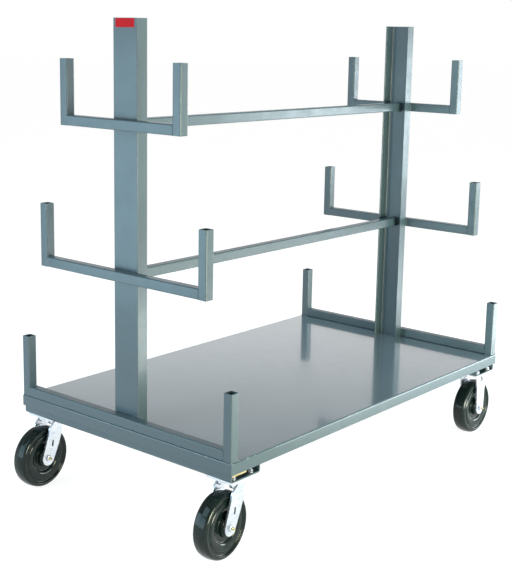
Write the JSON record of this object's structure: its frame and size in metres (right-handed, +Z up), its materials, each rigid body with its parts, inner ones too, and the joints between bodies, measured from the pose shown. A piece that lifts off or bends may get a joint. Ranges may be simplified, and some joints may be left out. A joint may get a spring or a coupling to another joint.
{
  "type": "long material cart",
  "caption": "Steel cart for long bar and pipe: flat deck, channel uprights with cradle arms at each end joined by tie bars, swivel and rigid casters.",
  "frame": {"origin": "on the floor, under the middle of the cart's overall box", "axes": "+X along the cart towards the rigid casters, +Y across it, +Z up"},
  "size_m": [1.648, 0.9144, 1.5226],
  "materials": {
    "frame_paint": "semi-gloss blue-grey enamel",
    "deck_paint": "semi-gloss blue-grey enamel",
    "zinc": "bright zinc plate",
    "bearing_steel": "ground steel, oiled",
    "yellow_zinc": "yellow zinc plate",
    "phenolic": "black moulded phenolic, glossy"
  },
  "bodies": {
    "frame": {"deck_pan": "deck_paint", "deck_stiffener": "frame_paint", "bolster_near": "frame_paint", "upright_near": "frame_paint", "cross_tube_near_low": "frame_paint", "post_near_low_front": "frame_paint", "post_near_low_back": "frame_paint", "cross_tube_near_middle": "frame_paint", "post_near_middle_front": "frame_paint", "post_near_middle_back": "frame_paint", "cross_tube_near_top": "frame_paint", "post_near_top_front": "frame_paint", "post_near_top_back": "frame_paint", "bolster_far": "frame_paint", "upright_far": "frame_paint", "cross_tube_far_low": "frame_paint", "post_far_low_front": "frame_paint", "post_far_low_back": "frame_paint", "cross_tube_far_middle": "frame_paint", "post_far_middle_front": "frame_paint", "post_far_middle_back": "frame_paint", "cross_tube_far_top": "frame_paint", "post_far_top_front": "frame_paint", "post_far_top_back": "frame_paint", "tie_bar_middle": "frame_paint", "tie_bar_top": "frame_paint", "caster_plate_swivel_front": "zinc", "ball_ring_swivel_front": "bearing_steel", "kingpin_bolt_swivel_front": "zinc", "kingpin_nut_swivel_front": "zinc", "caster_plate_rigid_front": "zinc", "fork_rigid_front": "zinc", "hub_bushing_rigid_front": "bearing_steel", "axle_bolt_rigid_front": "zinc", "axle_nut_rigid_front": "yellow_zinc", "caster_plate_swivel_back": "zinc", "ball_ring_swivel_back": "bearing_steel", "kingpin_bolt_swivel_back": "zinc", "kingpin_nut_swivel_back": "zinc", "caster_plate_rigid_back": "zinc", "fork_rigid_back": "zinc", "hub_bushing_rigid_back": "bearing_steel", "axle_bolt_rigid_back": "zinc", "axle_nut_rigid_back": "yellow_zinc"},
    "swivel_front": {"fork_swivel_front": "zinc", "hub_bushing_swivel_front": "bearing_steel", "axle_bolt_swivel_front": "zinc", "axle_nut_swivel_front": "yellow_zinc"},
    "swivel_back": {"fork_swivel_back": "zinc", "hub_bushing_swivel_back": "bearing_steel", "axle_bolt_swivel_back": "zinc", "axle_nut_swivel_back": "yellow_zinc"},
    "wheel_swivel_front": {"wheel_swivel_front": "phenolic", "roller_bearing_swivel_front": "bearing_steel"},
    "wheel_swivel_back": {"wheel_swivel_back": "phenolic", "roller_bearing_swivel_back": "bearing_steel"},
    "wheel_rigid_front": {"wheel_rigid_front": "phenolic", "roller_bearing_rigid_front": "bearing_steel"},
    "wheel_rigid_back": {"wheel_rigid_back": "phenolic", "roller_bearing_rigid_back": "bearing_steel"}
  },
  "joints": [
    {"name": "swivel_front_turn", "type": "hinge", "parent": "frame", "child": "swivel_front", "pos_m": [-0.67161, -0.398, 0.2], "axis": [0, 0, 1], "continuous": true},
    {"name": "swivel_back_turn", "type": "hinge", "parent": "frame", "child": "swivel_back", "pos_m": [-0.67161, 0.398, 0.2], "axis": [0, 0, 1], "continuous": true},
    {"name": "wheel_swivel_front_roll", "type": "hinge", "parent": "swivel_front", "child": "wheel_swivel_front", "pos_m": [-0.72149, -0.40149, 0.1016], "axis": [-0.0698, 0.9976, 0], "continuous": true},
    {"name": "wheel_swivel_back_roll", "type": "hinge", "parent": "swivel_back", "child": "wheel_swivel_back", "pos_m": [-0.72149, 0.39451, 0.1016], "axis": [-0.0698, 0.9976, 0], "continuous": true},
    {"name": "wheel_rigid_front_roll", "type": "hinge", "parent": "frame", "child": "wheel_rigid_front", "pos_m": [0.72239, -0.398, 0.1016], "axis": [0, 1, 0], "continuous": true},
    {"name": "wheel_rigid_back_roll", "type": "hinge", "parent": "frame", "child": "wheel_rigid_back", "pos_m": [0.72239, 0.398, 0.1016], "axis": [0, 1, 0], "continuous": true}
  ]
}
